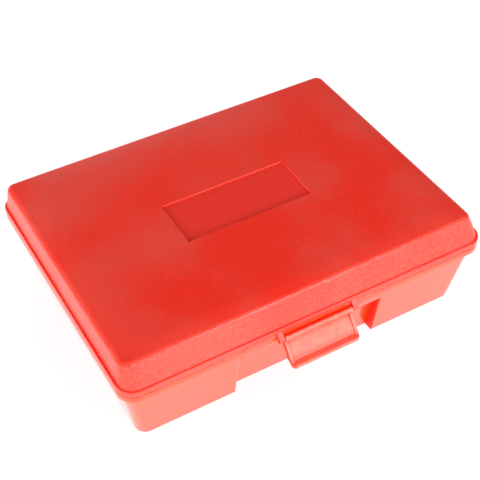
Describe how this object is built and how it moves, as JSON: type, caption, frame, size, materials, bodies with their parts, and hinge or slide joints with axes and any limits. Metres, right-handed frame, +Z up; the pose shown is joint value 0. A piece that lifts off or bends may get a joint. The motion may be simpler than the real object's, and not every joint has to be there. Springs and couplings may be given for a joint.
{
  "type": "parallel set case",
  "caption": "Rectangular moulded plastic case with a lid hinged at the back and a front snap latch, holding steel parallels on edge in slotted racks under a foam pad.",
  "frame": {"origin": "centre of the rim's rectangle, on the plane of the base's underside, where the case rests on a bench", "axes": "+X along the long front side, to the right seen from the latch; +Y from the latch to the hinges; +Z up"},
  "size_m": [0.2, 0.1701, 0.0557],
  "materials": {
    "base_plastic": "polished mould, smooth and glossy",
    "lid_plastic": "fine spark-eroded grain, satin",
    "latch_plastic": "thin, glossy, slightly translucent",
    "pin_steel": "drawn wire",
    "rack_plastic": "fine matt grain, black",
    "pad_foam": "closed-cell foam, charcoal",
    "ground_steel": "surface ground, fine lengthwise grain"
  },
  "bodies": {
    "base": {"base_shell": "base_plastic", "hinge_pin_left": "pin_steel", "hinge_pin_right": "pin_steel", "rack_left": "rack_plastic", "rack_right": "rack_plastic", "parallel_01_a": "ground_steel", "parallel_01_b": "ground_steel", "parallel_02_a": "ground_steel", "parallel_02_b": "ground_steel", "parallel_03_a": "ground_steel", "parallel_03_b": "ground_steel", "parallel_04_a": "ground_steel", "parallel_04_b": "ground_steel", "parallel_05_a": "ground_steel", "parallel_05_b": "ground_steel", "parallel_06_a": "ground_steel", "parallel_06_b": "ground_steel", "parallel_07_a": "ground_steel", "parallel_07_b": "ground_steel", "parallel_08_a": "ground_steel", "parallel_08_b": "ground_steel", "parallel_09_a": "ground_steel", "parallel_09_b": "ground_steel", "parallel_10_a": "ground_steel", "parallel_10_b": "ground_steel"},
    "lid": {"lid_shell": "lid_plastic", "foam_pad": "pad_foam", "latch_pin": "latch_plastic"},
    "latch": {"latch_tab": "latch_plastic", "latch_catch": "latch_plastic"}
  },
  "joints": [
    {"name": "lid_hinge", "type": "hinge", "parent": "base", "child": "lid", "pos_m": [0, 0.07905, 0.0392], "axis": [-1, 0, 0], "range_deg": [0, 110], "deforming": ["latch_catch"]},
    {"name": "latch_turn", "type": "hinge", "parent": "lid", "child": "latch", "pos_m": [0, -0.0772, 0.0372], "axis": [-1, 0, 0], "range_deg": [0, 120]}
  ]
}
